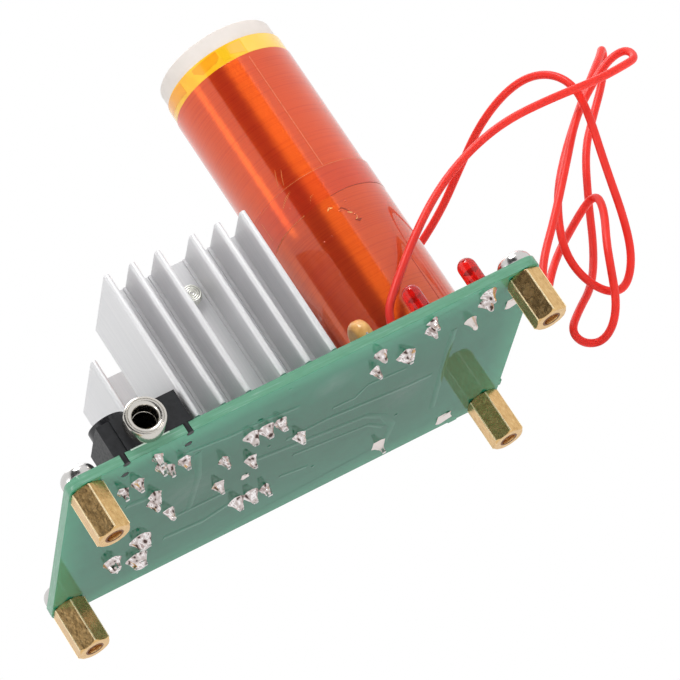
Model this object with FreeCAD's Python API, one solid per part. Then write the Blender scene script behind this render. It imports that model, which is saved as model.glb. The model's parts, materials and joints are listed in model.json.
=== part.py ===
import FreeCAD, Part
import math
import os

from FreeCAD import Vector

os.makedirs("parts", exist_ok=True)

# A desktop resonant transformer on a small circuit board: a tall coil, a driver with
# two transistors on heatsinks, sockets, lamps and a loose red primary wire.
# Lengths are in millimetres. X runs along the board from the sockets to the coil,
# Y runs from the audio socket's edge to the power socket's edge and Z is up.
# The origin is the centre of the four feet, on the table.

# Shared values
overrun = 1.0
running_gap = 0.3
lead_slack = 0.05
same_place = 1e-4

# Board, with two nibs left where it was broken out of its panel
board_length = 80.0
board_width = 45.0
board_thick = 1.6
board_corner_radius = 2.0
mount_hole_radius = 1.6
mount_hole_inset = 2.8
left_edge_x = -board_length / 2
right_edge_x = board_length / 2
front_edge_y = -board_width / 2
back_edge_y = board_width / 2
nib_width = 1.6
nib_proud = 0.35
back_nib_inset = 7.7
right_nib_inset = 5.7
back_nib_x = right_edge_x - back_nib_inset
right_nib_y = back_edge_y - right_nib_inset

# Hexagonal brass standoffs and their screws
standoff_height = 8.0
standoff_flats = 5.0
hexagon_sides = 6
standoff_chamfer = 0.35
standoff_tap_radius = 1.25
standoff_entry_radius = 1.5
standoff_entry_depth = 4.0
screw_shank_radius = 1.45
board_screw_length = 5.0
screw_head_radius = 2.8
screw_head_height = 2.1
screw_head_round = 1.6
screw_recess_width = 0.7
screw_recess_span = 3.2
screw_recess_depth = 1.1

# Heatsinks: one extrusion, used twice and mirrored about a line along X
heatsink_x = -6.15
mirror_y = 0.5
heatsink_lift = 0.6
heatsink_height = 26.0
heatsink_fin_thick = 1.0
heatsink_base_thick = 1.4
heatsink_fin_reach = 7.2
heatsink_flange_reach = 8.5
heatsink_base_y = -14.3
heatsink_inner_fin_x = 2.95
heatsink_fin_pitch = 4.3
heatsink_root_step = 0.35
heatsink_root_width = 1.9
heatsink_tap_radius = 1.5
heatsink_screw_length = 4.0

# Power transistors in the usual flat package with a metal tab
tab_width = 9.9
tab_thick = 1.3
tab_hole_radius = 1.8
tab_hole_drop = 2.7
case_width = 10.1
case_depth = 4.5
case_height = 9.2
case_slope = 0.8
case_slope_share = 0.35
case_bottom_lift = 7.65
tab_above_case = 6.5
tab_below_top = 14.9
lead_pitch = 2.54
lead_back = 2.5
lead_thick = 0.5
lead_width = 0.8
lead_shoulder_width = 1.3
lead_shoulder_length = 3.8

# Solder and the wires' tails under the board
solder_height = 1.2
solder_foot_radius = 1.15
solder_neck_radius = 0.45
tail_below = 1.7
pad_height = 0.2

# Audio socket
audio_inset = 14.55
audio_overhang = 0.1
audio_x = left_edge_x + audio_inset
audio_front_y = front_edge_y - audio_overhang
audio_width = 12.9
audio_depth = 9.5
audio_height = 5.4
audio_step_width = 2.2
audio_step_depth = 0.3
audio_nose_radius = 3.15
audio_nose_length = 2.4
audio_sleeve_radius = 2.6
audio_sleeve_length = 2.0
audio_bore_radius = 1.8
audio_rim_round = 0.3
audio_back_wall = 1.2
audio_axis_lift = 2.7
audio_leaf_thick = 0.25
audio_leaf_height = 1.2
audio_leaf_length = 4.4
audio_leaf_intrusion = 0.5
audio_pocket_reach = 1.9
audio_pin_radius = 0.35
audio_peg_radius = 0.55
audio_peg_length = 1.6
audio_pin_places = [(-0.15, 2.9), (0.75, 6.8), (2.35, 8.7), (4.95, 8.8), (-5.35, 9.1), (-2.85, 8.7)]
audio_peg_places = [(-5.25, 3.9), (5.25, 4.0), (-5.25, 0.55), (5.25, 0.55)]

# Power socket for a barrel plug
power_inset = 14.2
power_setback = 0.4
power_x = left_edge_x + power_inset
power_mouth_y = back_edge_y - power_setback
power_width = 9.0
power_length = 14.2
power_flange_length = 3.5
power_height = 11.0
power_round_radius = 4.4
power_axis_lift = 6.5
power_bore_radius = 3.2
power_bore_depth = 9.5
power_pin_radius = 1.0
power_pin_root_radius = 1.3
power_pin_setback = 0.5
power_leaf_width = 3.0
power_leaf_thick = 0.3
power_leaf_length = 5.2
power_leaf_intrusion = 0.3
power_leaf_root = 8.0
power_pocket_drop = 1.2
terminal_thick = 0.3
terminal_width = 2.0
rear_terminal_rise = 7.5
side_terminal_back = 11.1
side_terminal_rise = 5.0

# Upright electrolytic capacitor
can_inset = 15.3
can_x = left_edge_x + can_inset
can_y = -5.1
can_radius = 3.0
sleeve_radius = 3.15
sleeve_lip = 0.5
can_height = 11.9
can_score_depth = 0.25
can_score_width = 0.35
can_round = 0.4
bung_radius = 2.6
bung_height = 1.2
thin_lead_radius = 0.25
can_lead_pitch = 2.5

# Indicator lamps
lamp_inset = 4.1
left_lamp_inset = 18.5
right_lamp_inset = 8.7
lamp_y = front_edge_y + lamp_inset
lamp_places = [("left_lamp", right_edge_x - left_lamp_inset), ("right_lamp", right_edge_x - right_lamp_inset)]
lamp_radius = 1.5
lamp_height = 5.6
lamp_flange_radius = 1.9
lamp_flange_height = 1.0
lamp_flat_inset = 1.55
lamp_lead_pitch = 2.54

# Disc capacitor
disc_inset_x = 27.4
disc_inset_y = 7.7
disc_x = right_edge_x - disc_inset_x
disc_y = front_edge_y + disc_inset_y
disc_radius = 2.8
disc_thick = 2.6
disc_round = 1.1
disc_lift = 2.8
disc_lead_pitch = 5.08
disc_lead_bite = 0.6

# Resistors, laid flat: name, centre and whether it lies along Y
base_resistor_offset = 6.85
lamp_resistor_offset = 2.6
resistor_places = [
    ("base_resistor", heatsink_x - base_resistor_offset, -2.6, True),
    ("lamp_resistor", heatsink_x + lamp_resistor_offset, -2.0, False),
]
resistor_radius = 1.1
resistor_waist_radius = 0.95
resistor_length = 6.0
resistor_cap_length = 1.4
resistor_lead_pitch = 8.4
resistor_lead_radius = 0.28
resistor_lift = 0.1

# Coil: a plastic tube wound with one layer of hair-fine wire under clear film
coil_inset = 16.2
coil_x = right_edge_x - coil_inset
coil_y = 0.0
former_radius = 10.0
former_wall = 2.0
former_bore_radius = former_radius - former_wall
former_height = 61.2
winding_start = 1.4
winding_height = 53.75
winding_thick = 0.25
film_thick = 0.2
lower_wrap_thick = 0.25
lower_wrap_height = 31.1
tape_height = 3.05
tape_thick = 0.3
glue_width = 1.0
glue_height = 0.9
winding_lead_radius = 0.15
winding_lead_reach = 3.1
winding_lead_sideways = 5.4
winding_lead_pad = (coil_x + winding_lead_sideways, coil_y - former_radius - winding_lead_reach)
winding_lead_lift = 0.8

# Primary wire: a single loose loop of stiff insulated wire, from pad to pad.
# Its run is counted from the coil's axis and the board's top.
wire_radius = 0.65
core_radius = 0.35
run_share = 0.45
primary_run = [
    (-5.9, -12.4, 0.4), (-5.5, -12.8, 4.7), (-1.5, -12.9, 8.7), (6.3, -13.0, 15.1), (13.4, -13.1, 19.9),
    (20.6, -13.6, 23.0), (28.2, -14.3, 24.7), (36.3, -15.0, 24.5), (44.6, -14.9, 24.0), (50.7, -13.5, 24.9),
    (53.9, -12.2, 25.8), (54.3, -10.4, 28.6), (51.8, -9.1, 29.0), (47.1, -8.7, 26.7), (41.1, -8.8, 22.6),
    (34.4, -10.0, 15.5), (27.5, -10.6, 8.3), (21.7, -10.9, 2.8), (18.6, -12.0, -1.6), (17.9, -12.0, -4.3),
    (18.3, -9.4, -5.0), (19.7, -7.7, -2.6), (22.4, -6.3, 0.8), (27.6, -3.4, 5.5), (33.0, -1.6, 9.1),
    (36.0, -2.2, 10.8), (37.7, -2.9, 11.5), (38.5, -4.1, 11.0), (37.8, -5.4, 9.0), (36.4, -6.3, 6.3),
    (33.4, -8.1, 1.9), (31.4, -8.0, -2.5), (30.2, -5.7, -6.6), (28.9, -2.1, -8.7), (27.3, 1.3, -8.8),
    (24.6, 1.0, -7.6), (23.7, -0.3, -5.4), (27.1, 0.6, -2.7), (32.0, 2.3, 0.5), (36.2, 3.2, 5.9),
    (40.5, 3.2, 14.2), (45.0, 3.1, 22.0), (50.0, 3.9, 26.9), (54.5, 3.9, 31.2), (56.6, 3.6, 34.0),
    (57.2, 2.5, 35.4), (56.6, 1.0, 35.5), (55.1, -0.1, 34.0), (52.0, -2.0, 31.5), (46.5, -3.6, 27.1),
    (38.9, -4.0, 20.5), (33.0, -5.2, 14.3), (29.3, -5.7, 8.3), (27.7, -5.6, 3.3), (28.5, -4.8, -1.1),
    (31.1, -3.7, -4.1), (34.1, -3.5, -4.3), (37.1, -4.8, -0.9), (39.1, -6.1, 4.8), (40.2, -9.3, 13.0),
    (41.6, -12.1, 20.6), (42.3, -12.4, 25.8), (41.2, -10.8, 30.0), (38.8, -7.8, 32.7), (35.4, -4.0, 33.4),
    (31.0, 0.4, 32.2), (26.2, 4.2, 29.0), (19.9, 7.9, 24.5), (11.3, 11.7, 20.5), (5.1, 14.3, 16.6),
    (0.0, 16.2, 11.3), (-4.5, 17.1, 6.2), (-6.1, 17.0, 0.4),
]

# Solder points with no part on the board's top side
bare_joint_inset = 18.6
side_pad_inset = 3.0
back_pad_inset = 9.9
middle_pad_offset = 1.95
bare_joints = [(left_edge_x + bare_joint_inset, 2.3)]
flat_pads = [
    (right_edge_x - side_pad_inset, -12.3),
    (right_edge_x - back_pad_inset, back_edge_y - side_pad_inset),
    (heatsink_x - middle_pad_offset, 3.5),
]
bare_tail_radius = 0.25

# Derived places
board_bottom = standoff_height
board_top = board_bottom + board_thick
tail_bottom = board_bottom - tail_below
primary_route = [(coil_x + x, coil_y + y, board_top + z) for x, y, z in primary_run]
foot_x = board_length / 2 - mount_hole_inset
foot_y = board_width / 2 - mount_hole_inset
feet = [(sx * foot_x, sy * foot_y) for sx in (-1, 1) for sy in (-1, 1)]

X_AXIS = Vector(1, 0, 0)
Y_AXIS = Vector(0, 1, 0)
Z_AXIS = Vector(0, 0, 1)


# Shape helpers

def block(x_span, y_span, z_span):
    """A box between two values on each axis."""
    size = [high - low for low, high in (x_span, y_span, z_span)]
    return Part.makeBox(size[0], size[1], size[2], Vector(x_span[0], y_span[0], z_span[0]))


def rod(radius, length, base, axis=Z_AXIS):
    return Part.makeCylinder(radius, length, Vector(*base), axis)


def ring(outer, inner, length, base, axis=Z_AXIS):
    """A plain tube, cut right through."""
    start = Vector(*base) - axis * overrun
    bore = Part.makeCylinder(inner, length + 2 * overrun, start, axis)
    return rod(outer, length, base, axis).cut(bore)


def around(middle, width):
    """The span of a width centred on a place."""
    return (middle - width / 2, middle + width / 2)


def edges_at(shape, axis_index, place):
    """Edges that lie wholly in the plane of one coordinate."""
    found = []
    for edge in shape.Edges:
        box = edge.BoundBox
        low = (box.XMin, box.YMin, box.ZMin)[axis_index]
        high = (box.XMax, box.YMax, box.ZMax)[axis_index]
        if abs(low - place) < same_place and abs(high - place) < same_place:
            found.append(edge)
    return found


def save(name, *shapes):
    """Write one sub-part; several shapes stay separate solids in it."""
    solids = [solid for shape in shapes for solid in shape.Solids]
    whole = solids[0] if len(solids) == 1 else Part.makeCompound(solids)
    whole.exportStep("parts/" + name + ".step")
    volume = sum(solid.Volume for solid in solids)
    print(f"{name}: {len(solids)} solids, {volume:.2f} mm3, valid {whole.isValid()}")


def rounded_path(points, share):
    """Straight runs joined by tangent arcs, with the arcs' radii and the whole length."""
    corners = [Vector(*point) for point in points]
    edges = []
    radii = []
    length = 0.0
    start = corners[0]
    for before, corner, after in zip(corners, corners[1:], corners[2:]):
        inward = corner - before
        outward = after - corner
        turn = inward.getAngle(outward)
        cut = share * min(inward.Length, outward.Length)
        radius = cut / math.tan(turn / 2)
        inward.normalize()
        outward.normalize()
        arc_start = corner - inward * cut
        arc_end = corner + outward * cut
        middle_line = (outward - inward).normalize()
        reach = radius / math.cos(turn / 2) - radius
        arc_middle = corner + middle_line * reach
        edges.append(Part.makeLine(start, arc_start))
        edges.append(Part.Arc(arc_start, arc_middle, arc_end).toShape())
        length += start.distanceToPoint(arc_start) + radius * turn
        radii.append(radius)
        start = arc_end
    edges.append(Part.makeLine(start, corners[-1]))
    length += start.distanceToPoint(corners[-1])
    return Part.Wire(edges), radii, length


def tube_along(points, radius, share=run_share):
    """A round tube swept along a rounded path."""
    path, radii, length = rounded_path(points, share)
    direction = Vector(*points[1]) - Vector(*points[0])
    circle = Part.Circle(Vector(*points[0]), direction, radius).toShape()
    tube = path.makePipeShell([Part.Wire([circle])], True, False)
    return tube, radii, length


# Solder places, gathered as the parts with leads are made

joints = []


def add_joint(x, y, hole_radius, tail=None):
    """Book a drilled and soldered place; the tail is the shape that comes through."""
    joints.append((x, y, hole_radius, tail))


def straight_tail(x, y, radius, top=None):
    """A round lead from its clipped end under the board up to a height."""
    end = board_top if top is None else top
    lead = rod(radius, end - tail_bottom, (x, y, tail_bottom))
    add_joint(x, y, radius + lead_slack, lead)
    return lead


def flat_tail(x, y, x_width, y_width, top):
    """A flat lead from its clipped end under the board up to a height."""
    lead = block(around(x, x_width), around(y, y_width), (tail_bottom, top))
    add_joint(x, y, math.hypot(x_width, y_width) / 2 + lead_slack, lead)
    return lead


# Feet

def standoffs():
    """Hexagonal posts with a corner towards each long edge of the board."""
    corner_radius = standoff_flats / 2 / math.cos(math.pi / hexagon_sides)
    shapes = []
    for x, y in feet:
        corners = []
        for step in range(hexagon_sides):
            angle = math.pi / 2 + 2 * math.pi * step / hexagon_sides
            corners.append(Vector(x + corner_radius * math.cos(angle), y + corner_radius * math.sin(angle), 0))
        outline = Part.Wire(Part.makePolygon(corners + corners[:1]).Edges)
        post = Part.Face(outline).extrude(Z_AXIS * standoff_height)
        turned = rod(corner_radius, standoff_height, (x, y, 0))
        turned = turned.makeChamfer(standoff_chamfer, edges_at(turned, 2, 0) + edges_at(turned, 2, standoff_height))
        tap = rod(standoff_tap_radius, standoff_height + 2 * overrun, (x, y, -overrun))
        entry = rod(standoff_entry_radius, standoff_entry_depth + overrun, (x, y, standoff_height - standoff_entry_depth))
        shapes.append(post.common(turned).cut(tap).cut(entry))
    save("standoffs", *shapes)


def pan_screw(length):
    """A pan-head screw standing on the origin, head up, with a cross recess."""
    head = rod(screw_head_radius, screw_head_height, (0, 0, 0))
    head = head.makeFillet(screw_head_round, edges_at(head, 2, screw_head_height))
    recess_floor = screw_head_height - screw_recess_depth
    recess_top = screw_head_height + overrun
    for spans in ((screw_recess_span, screw_recess_width), (screw_recess_width, screw_recess_span)):
        head = head.cut(block(around(0, spans[0]), around(0, spans[1]), (recess_floor, recess_top)))
    shank = rod(screw_shank_radius, length, (0, 0, -length))
    return head.fuse(shank).removeSplitter()


def board_screws():
    screws = []
    for x, y in feet:
        screw = pan_screw(board_screw_length)
        screw.translate(Vector(x, y, board_top))
        screws.append(screw)
    save("board_screws", *screws)


# Heatsinks and transistors

heatsink_bottom = board_top + heatsink_lift
case_bottom = board_top + case_bottom_lift
tab_top = case_bottom + case_height + tab_above_case
screw_height = tab_top - tab_hole_drop
flange_face_y = heatsink_base_y + heatsink_base_thick


def mirrored(shape):
    """The same shape on the other side of the mirror line."""
    return shape.mirror(Vector(0, mirror_y, 0), Y_AXIS)


def fin(x, tip_y, root_y):
    """One upright fin with a rounded tip."""
    radius = heatsink_fin_thick / 2
    towards_root = 1 if root_y > tip_y else -1
    centre_y = tip_y + towards_root * radius
    low, high = sorted((centre_y, root_y))
    plate = block(around(x, heatsink_fin_thick), (low, high), (heatsink_bottom, heatsink_bottom + heatsink_height))
    return plate.fuse(rod(radius, heatsink_height, (x, centre_y, heatsink_bottom)))


def heatsink():
    """A finned plate whose two outer fins also reach back past the transistor."""
    fin_places = [heatsink_inner_fin_x + heatsink_fin_pitch * step for step in range(3)]
    half_width = fin_places[-1] + heatsink_fin_thick / 2
    z_span = (heatsink_bottom, heatsink_bottom + heatsink_height)
    body = block((heatsink_x - half_width, heatsink_x + half_width), (heatsink_base_y, flange_face_y), z_span)
    tip_y = heatsink_base_y - heatsink_fin_reach
    overlap_y = heatsink_base_y + heatsink_base_thick / 2
    for side in (-1, 1):
        for place in fin_places:
            x = heatsink_x + side * place
            root_low = heatsink_base_y - heatsink_root_step
            body = body.fuse(fin(x, tip_y, overlap_y))
            if place < fin_places[-1]:
                body = body.fuse(block(around(x, heatsink_root_width), (root_low, overlap_y), z_span))
        outer_x = heatsink_x + side * fin_places[-1]
        body = body.fuse(fin(outer_x, flange_face_y + heatsink_flange_reach, overlap_y))
    tap = rod(heatsink_tap_radius, heatsink_base_thick + 2 * overrun,
              (heatsink_x, heatsink_base_y - overrun, screw_height), Y_AXIS)
    return body.removeSplitter().cut(tap)


def heatsink_screw():
    """The screw through a tab into its heatsink, head on the tab's side."""
    screw = pan_screw(heatsink_screw_length)
    screw.rotate(Vector(0, 0, 0), X_AXIS, -90)
    screw.translate(Vector(heatsink_x, flange_face_y + tab_thick, screw_height))
    return screw


def transistor():
    """The tab, the moulded case and the three leads of one transistor."""
    back = flange_face_y
    tab = block(around(heatsink_x, tab_width), (back, back + tab_thick), (tab_top - tab_below_top, tab_top))
    hole = rod(tab_hole_radius, tab_thick + 2 * overrun, (heatsink_x, back - overrun, screw_height), Y_AXIS)
    tab = tab.cut(hole)
    case = block(around(heatsink_x, case_width), (back, back + case_depth), (case_bottom, case_bottom + case_height))
    slope_height = case_height * case_slope_share
    slope = Part.makePolygon([Vector(0, back + case_depth + overrun, case_bottom + case_height - slope_height),
                              Vector(0, back + case_depth, case_bottom + case_height - slope_height),
                              Vector(0, back + case_depth - case_slope, case_bottom + case_height + overrun),
                              Vector(0, back + case_depth + overrun, case_bottom + case_height + overrun),
                              Vector(0, back + case_depth + overrun, case_bottom + case_height - slope_height)])
    wedge = Part.Face(Part.Wire(slope.Edges)).extrude(X_AXIS * (case_width + 2 * overrun))
    wedge.translate(Vector(heatsink_x - case_width / 2 - overrun, 0, 0))
    case = case.cut(wedge)
    case = case.cut(tab)
    leads = []
    lead_y = back + lead_back
    for step in (-1, 0, 1):
        x = heatsink_x + step * lead_pitch
        tail = flat_tail(x, lead_y, lead_width, lead_thick, case_bottom)
        shoulder = block(around(x, lead_shoulder_width), around(lead_y, lead_thick),
                         (case_bottom - lead_shoulder_length, case_bottom))
        leads.append(tail.fuse(shoulder).removeSplitter())
    return tab, case, leads


def driver_pair():
    """Both heatsinks with their transistors and screws."""
    sink = heatsink()
    screw = heatsink_screw()
    first_joint = len(joints)
    tab, case, leads = transistor()
    booked = joints[first_joint:]
    for x, y, hole_radius, tail in booked:
        add_joint(x, 2 * mirror_y - y, hole_radius, mirrored(tail))
    save("front_heatsink", sink)
    save("back_heatsink", mirrored(sink))
    save("heatsink_screws", screw, mirrored(screw))
    save("front_transistor_tab", tab)
    save("front_transistor_case", case)
    save("front_transistor_leads", *leads)
    save("back_transistor_tab", mirrored(tab))
    save("back_transistor_case", mirrored(case))
    save("back_transistor_leads", *[mirrored(lead) for lead in leads])


# Audio socket

audio_axis_z = board_top + audio_axis_lift
audio_back_y = audio_front_y + audio_depth
audio_sleeve_end_y = audio_front_y + audio_sleeve_length
audio_cavity_end_y = audio_back_y - audio_back_wall
audio_leaf_root_y = audio_cavity_end_y - running_gap
audio_leaf_tip_y = audio_leaf_root_y - audio_leaf_length


def audio_socket():
    """The moulded body, its metal nose, the contact leaves and the pins."""
    body = block(around(audio_x, audio_width), (audio_front_y, audio_back_y), (board_top, board_top + audio_height))
    step_left = audio_x - audio_width / 2
    step = block((step_left - overrun, step_left + audio_step_width),
                 (audio_front_y - overrun, audio_front_y + audio_step_depth),
                 (board_top - overrun, board_top + audio_height + overrun))
    body = body.cut(step)
    body = body.cut(rod(audio_sleeve_radius, audio_sleeve_length + overrun,
                        (audio_x, audio_front_y - overrun, audio_axis_z), Y_AXIS))
    cavity_y = (audio_sleeve_end_y - lead_slack, audio_cavity_end_y)
    body = body.cut(block(around(audio_x, 2 * audio_bore_radius), cavity_y, around(audio_axis_z, 2 * audio_bore_radius)))
    pocket_half = audio_bore_radius + audio_pocket_reach
    pocket_height = audio_leaf_height + 2 * running_gap
    body = body.cut(block(around(audio_x, 2 * pocket_half), (audio_leaf_tip_y - running_gap, audio_cavity_end_y),
                          around(audio_axis_z, pocket_height)))
    for offset_x, offset_y in audio_peg_places:
        x = audio_x + offset_x
        y = audio_front_y + offset_y
        peg = rod(audio_peg_radius, audio_peg_length, (x, y, board_top - audio_peg_length))
        body = body.fuse(peg)
        joints.append((x, y, audio_peg_radius + lead_slack, None))
    save("audio_jack_body", body.removeSplitter())

    nose = rod(audio_nose_radius, audio_nose_length, (audio_x, audio_front_y - audio_nose_length, audio_axis_z), Y_AXIS)
    nose = nose.makeFillet(audio_rim_round, edges_at(nose, 1, audio_front_y - audio_nose_length))
    sleeve = rod(audio_sleeve_radius, audio_sleeve_length, (audio_x, audio_front_y, audio_axis_z), Y_AXIS)
    bore = rod(audio_bore_radius, audio_nose_length + audio_sleeve_length + 2 * overrun,
               (audio_x, audio_front_y - audio_nose_length - overrun, audio_axis_z), Y_AXIS)
    save("audio_jack_nose", nose.fuse(sleeve).removeSplitter().cut(bore))

    pins = [straight_tail(audio_x + dx, audio_front_y + dy, audio_pin_radius) for dx, dy in audio_pin_places]
    save("audio_jack_pins", *pins)

    inner = audio_bore_radius - audio_leaf_intrusion
    for name, side in (("audio_tip_spring", -1), ("audio_ring_spring", 1)):
        x_span = sorted((audio_x + side * inner, audio_x + side * (inner + audio_leaf_thick)))
        leaf = block(x_span, (audio_leaf_tip_y, audio_leaf_root_y), around(audio_axis_z, audio_leaf_height))
        save(name, leaf)


# Power socket

power_axis_z = board_top + power_axis_lift
power_back_y = power_mouth_y - power_length
power_bore_end_y = power_mouth_y - power_bore_depth
power_floor_z = power_axis_z - power_bore_radius
power_pocket_floor_z = power_floor_z - power_pocket_drop
power_leaf_bottom_z = power_floor_z + power_leaf_intrusion - power_leaf_thick
power_leaf_root_y = power_mouth_y - power_leaf_root
power_leaf_tip_y = power_leaf_root_y + power_leaf_length


def power_socket():
    """The moulded body with its pin, sprung sleeve contact and terminals."""
    flange_y = power_mouth_y - power_flange_length
    flange = block(around(power_x, power_width), (flange_y, power_mouth_y), (board_top, board_top + power_height))
    rear_low = block(around(power_x, 2 * power_round_radius), (power_back_y, flange_y), (board_top, power_axis_z))
    rear_top = rod(power_round_radius, flange_y - power_back_y, (power_x, power_back_y, power_axis_z), Y_AXIS)
    body = flange.fuse(rear_low).fuse(rear_top).removeSplitter()
    body = body.cut(rod(power_bore_radius, power_bore_depth + overrun,
                        (power_x, power_bore_end_y, power_axis_z), Y_AXIS))
    root = rod(power_pin_root_radius, power_bore_end_y - power_back_y, (power_x, power_back_y, power_axis_z), Y_AXIS)
    body = body.cut(root)
    pocket_x = around(power_x, power_leaf_width + 2 * running_gap)
    pocket_y = (power_leaf_root_y - running_gap, power_leaf_tip_y + running_gap)
    body = body.cut(block(pocket_x, pocket_y, (power_pocket_floor_z, power_axis_z)))
    contact_y = power_leaf_root_y + terminal_thick
    slot_x = around(power_x, terminal_width + 2 * lead_slack)
    body = body.cut(block(slot_x, around(contact_y, terminal_thick + 2 * lead_slack),
                          (board_top - overrun, power_axis_z - power_bore_radius)))
    save("power_jack_body", body)

    pin_tip_y = power_mouth_y - power_pin_setback
    pin = rod(power_pin_radius, pin_tip_y - power_back_y, (power_x, power_back_y, power_axis_z), Y_AXIS)
    save("power_jack_pin", pin.fuse(root).removeSplitter())

    leaf = block(around(power_x, power_leaf_width), (power_leaf_root_y, power_leaf_tip_y),
                 (power_leaf_bottom_z, power_leaf_bottom_z + power_leaf_thick))
    save("power_sleeve_spring", leaf)

    rear = flat_tail(power_x, power_back_y - terminal_thick / 2, terminal_width, terminal_thick,
                     board_top + rear_terminal_rise)
    middle = flat_tail(power_x, contact_y, terminal_width, terminal_thick, power_leaf_bottom_z - running_gap)
    side_x = power_x - power_round_radius - terminal_thick / 2
    side = flat_tail(side_x, power_mouth_y - side_terminal_back, terminal_thick, terminal_width,
                     board_top + side_terminal_rise)
    save("power_jack_terminals", rear, middle, side)


# Small parts

def electrolytic_capacitor():
    """A can in its shrunk sleeve, closed by a rubber bung."""
    bottom = board_top
    can = rod(can_radius, can_height - lead_slack, (can_x, can_y, bottom))
    top = bottom + can_height - lead_slack
    can = can.makeFillet(can_round, edges_at(can, 2, top))
    score_floor = top - can_score_depth
    for spans in ((can_radius, can_score_width), (can_score_width, can_radius)):
        can = can.cut(block(around(can_x, spans[0]), around(can_y, spans[1]), (score_floor, top + overrun)))
    bung_hole = rod(bung_radius, bung_height + overrun, (can_x, can_y, bottom - overrun))
    can = can.cut(bung_hole)
    save("capacitor_can", can)
    sleeve = ring(sleeve_radius, can_radius, can_height, (can_x, can_y, bottom))
    lip_bottom = bottom + can_height
    lip = ring(sleeve_radius, can_radius - sleeve_lip, sleeve_radius - can_radius, (can_x, can_y, lip_bottom))
    save("capacitor_sleeve", sleeve.fuse(lip).removeSplitter())
    leads = []
    for side in (-1, 1):
        y = can_y + side * can_lead_pitch / 2
        leads.append(straight_tail(can_x, y, thin_lead_radius, bottom + bung_height))
    bung = rod(bung_radius, bung_height, (can_x, can_y, bottom))
    for lead in leads:
        bung = bung.cut(lead)
    save("capacitor_bung", bung)
    save("capacitor_leads", *leads)


def lamp(name, x, y):
    """A round indicator lamp standing on its flange, with a flat on its edge."""
    body_height = lamp_height - lamp_radius
    lens = rod(lamp_radius, body_height, (x, y, board_top))
    lens = lens.fuse(Part.makeSphere(lamp_radius, Vector(x, y, board_top + body_height)))
    flange = rod(lamp_flange_radius, lamp_flange_height, (x, y, board_top))
    flat = block(around(x, 2 * lamp_flange_radius), (y + lamp_flat_inset, y + lamp_flange_radius + overrun),
                 (board_top - overrun, board_top + lamp_flange_height + overrun))
    lens = lens.fuse(flange).removeSplitter().cut(flat)
    leads = []
    for side in (-1, 1):
        lead_y = y + side * lamp_lead_pitch / 2
        leads.append(straight_tail(x, lead_y, thin_lead_radius))
    save(name + "_lens", lens)
    save(name + "_leads", *leads)


def disc_capacitor():
    """A dipped disc standing on two straight leads."""
    z = board_top + disc_lift
    disc = rod(disc_radius, disc_thick, (disc_x - disc_thick / 2, disc_y, z), X_AXIS)
    rims = edges_at(disc, 0, disc_x - disc_thick / 2) + edges_at(disc, 0, disc_x + disc_thick / 2)
    disc = disc.makeFillet(disc_round, rims)
    half_pitch = disc_lead_pitch / 2
    lead_top = z - math.sqrt(disc_radius ** 2 - half_pitch ** 2) + disc_lead_bite
    leads = []
    for side in (-1, 1):
        lead = straight_tail(disc_x, disc_y + side * half_pitch, thin_lead_radius, lead_top)
        disc = disc.cut(lead)
        leads.append(lead)
    save("ceramic_capacitor_disc", disc)
    save("ceramic_capacitor_leads", *leads)


def resistor(name, x, y, along_y):
    """A dog-bone body lying on the board, with its leads bent down through it."""
    axis_z = board_top + resistor_lift + resistor_radius
    half = resistor_length / 2
    body = rod(resistor_waist_radius, resistor_length, (-half, 0, 0), X_AXIS)
    for start in (-half, half - resistor_cap_length):
        cap = rod(resistor_radius, resistor_cap_length, (start, 0, 0), X_AXIS)
        cap = cap.makeFillet(resistor_radius - resistor_waist_radius,
                             edges_at(cap, 0, start) + edges_at(cap, 0, start + resistor_cap_length))
        body = body.fuse(cap)
    body = body.removeSplitter()
    half_pitch = resistor_lead_pitch / 2
    bends = []
    for side in (-1, 1):
        route = [(side * half, 0, 0), (side * half_pitch, 0, 0), (side * half_pitch, 0, tail_bottom - axis_z)]
        bends.append(tube_along(route, resistor_lead_radius)[0])
    for shape in [body] + bends:
        if along_y:
            shape.rotate(Vector(0, 0, 0), Z_AXIS, 90)
        shape.translate(Vector(x, y, axis_z))
    for side, bend in zip((-1, 1), bends):
        lead_x = x if along_y else x + side * half_pitch
        lead_y = y + side * half_pitch if along_y else y
        add_joint(lead_x, lead_y, resistor_lead_radius + lead_slack, bend)
    save(name + "_body", body)
    save(name + "_leads", *bends)


# Coil

def coil():
    """The plastic tube, its winding, the films over it and the ring of tape at the top."""
    base = (coil_x, coil_y, board_top)
    save("coil_former", ring(former_radius, former_bore_radius, former_height, base))
    winding_radius = former_radius + winding_thick
    winding_bottom = board_top + winding_start
    winding_top = winding_bottom + winding_height
    bottom = (coil_x, coil_y, winding_bottom)
    save("secondary_winding", ring(winding_radius, former_radius, winding_height, bottom))
    film_radius = winding_radius + film_thick
    save("winding_film", ring(film_radius, winding_radius, winding_height, bottom))
    wrap_radius = film_radius + lower_wrap_thick
    save("lower_film_wrap", ring(wrap_radius, film_radius, lower_wrap_height, bottom))
    tape_bottom = (coil_x, coil_y, winding_top)
    save("top_tape_ring", ring(former_radius + tape_thick, former_radius, tape_height, tape_bottom))
    glue = Part.makeCone(former_radius + glue_width, former_radius, glue_height, Vector(*base))
    glue = glue.cut(rod(former_radius, former_height, base))
    save("coil_glue", glue)


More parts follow.
